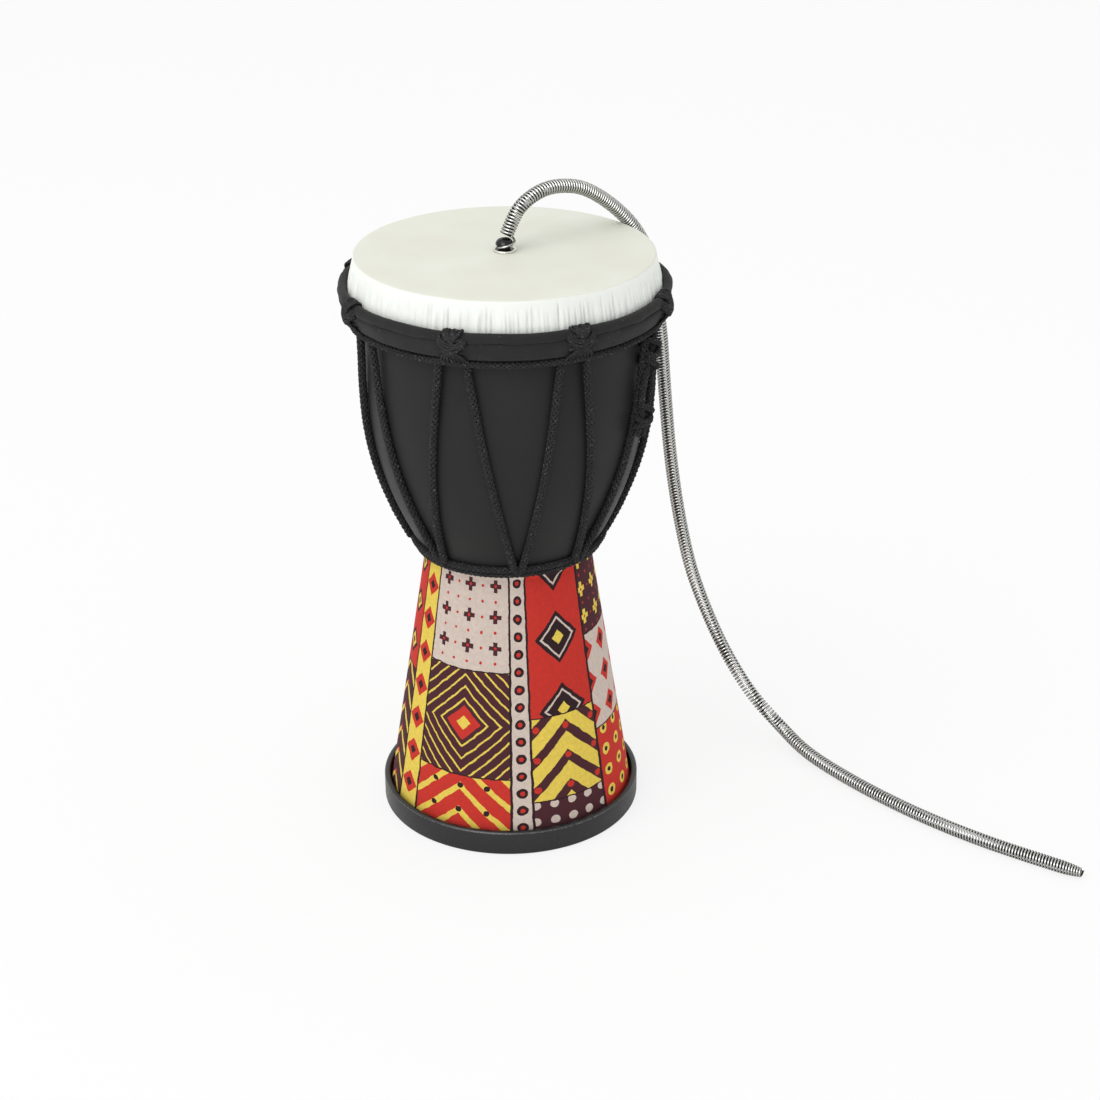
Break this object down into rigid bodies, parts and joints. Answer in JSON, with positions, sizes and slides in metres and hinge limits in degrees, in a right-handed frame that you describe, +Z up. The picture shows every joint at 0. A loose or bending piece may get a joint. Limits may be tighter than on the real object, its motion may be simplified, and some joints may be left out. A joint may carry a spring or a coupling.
{
  "type": "thunder tube",
  "caption": "Small goblet drum with a rope-laced cream head and a printed pedestal, whose head carries a long loose steel spring that rattles it like thunder.",
  "frame": {"origin": "centre of the foot ring's underside, on the drum's axis", "axes": "+Z up along the drum's axis; +X to the right in the picture and +Y away from the viewer"},
  "size_m": [0.2526, 0.1224, 0.2267],
  "materials": {
    "shell_black": "satin black paint",
    "sleeve_print": "printed cloth",
    "foot_black": "satin",
    "head_cream": "matte film",
    "crown_cloth": "matte cloth",
    "rope_black": "braided cord",
    "stud_black": "gloss",
    "steel": "bright",
    "spring_steel": "bright wire"
  },
  "bodies": {
    "drum": {"drum_shell": "shell_black", "print_sleeve": "sleeve_print", "foot_ring": "foot_black", "drumhead": "head_cream", "flesh_hoop": "steel", "crown_ring": "crown_cloth", "cloth_band": "crown_cloth", "hem_cord": "rope_black", "waist_rope": "rope_black", "rope_tail": "rope_black", "anchor_stud": "stud_black", "head_eyelet": "steel", "inner_washer": "steel", "anchor_nut": "steel", "crown_hitch_1": "rope_black", "lacing_1": "rope_black", "crown_hitch_2": "rope_black", "lacing_2": "rope_black", "crown_hitch_3": "rope_black", "lacing_3": "rope_black", "crown_hitch_4": "rope_black", "lacing_4": "rope_black", "crown_hitch_5": "rope_black", "lacing_5": "rope_black", "crown_hitch_6": "rope_black", "lacing_6": "rope_black", "crown_hitch_7": "rope_black", "lacing_7": "rope_black", "crown_hitch_8": "rope_black", "lacing_8": "rope_black"},
    "eye": {"spring_eye": "spring_steel"},
    "spring": {"thunder_spring": "spring_steel"}
  },
  "joints": [
    {"name": "spring_swivel", "type": "hinge", "parent": "drum", "child": "eye", "pos_m": [0, 0, 0.20625], "axis": [0, 0, 1], "continuous": true},
    {"name": "spring_lift", "type": "hinge", "parent": "eye", "child": "spring", "pos_m": [0, 0, 0.2074], "axis": [0.5878, -0.809, 0], "range_deg": [0, 60]}
  ]
}
